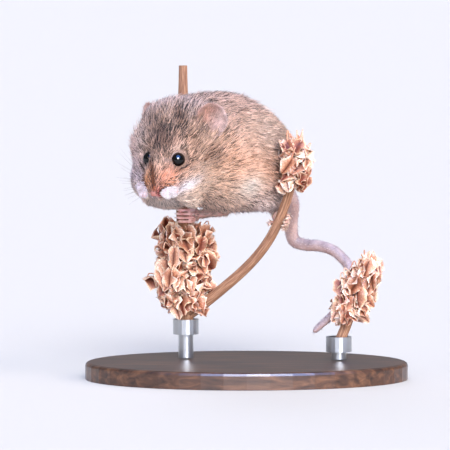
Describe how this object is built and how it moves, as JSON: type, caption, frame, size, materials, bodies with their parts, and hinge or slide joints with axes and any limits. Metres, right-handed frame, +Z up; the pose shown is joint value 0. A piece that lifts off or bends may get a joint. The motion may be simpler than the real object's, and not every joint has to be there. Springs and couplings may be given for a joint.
{
  "type": "harvest mouse",
  "caption": "Life-size still harvest mouse crouched on cut dock stems, forepaws at its mouth and tail hanging in a curve, on an oval display stand.",
  "frame": {"origin": "centre of the oval stand's underside", "axes": "+Z up; +X to the right and +Y away for a viewer who sees the face three-quarters on, turned to their left"},
  "size_m": [0.06, 0.044, 0.058],
  "materials": {
    "harvest_mouse_coat": "soft short fur",
    "bare_skin": "thin pink skin with fine hairs",
    "eye_black": "wet gloss",
    "dried_dock": "dry and papery",
    "stand_steel": "satin",
    "stand_wood": "dark satin varnish"
  },
  "bodies": {
    "root": {"head": "harvest_mouse_coat", "neck": "harvest_mouse_coat", "torso": "harvest_mouse_coat", "eye_left": "eye_black", "eye_right": "eye_black", "ear_left": "bare_skin", "ear_right": "bare_skin", "foreleg_left": "harvest_mouse_coat", "foreleg_right": "harvest_mouse_coat", "forepaw_left": "bare_skin", "forepaw_right": "bare_skin", "hindleg_left": "harvest_mouse_coat", "hindleg_right": "harvest_mouse_coat", "hindfoot_left": "bare_skin", "hindfoot_right": "bare_skin", "tail_1": "bare_skin", "tail_2": "bare_skin", "tail_3": "bare_skin", "tail_4": "bare_skin", "perch_stem": "dried_dock", "perch_branch": "dried_dock", "perch_twig": "dried_dock", "stand_base": "stand_wood", "stand_rod_1": "stand_steel", "stand_rod_2": "stand_steel", "stand_collar_1": "stand_steel", "stand_collar_2": "stand_steel"}
  },
  "joints": []
}
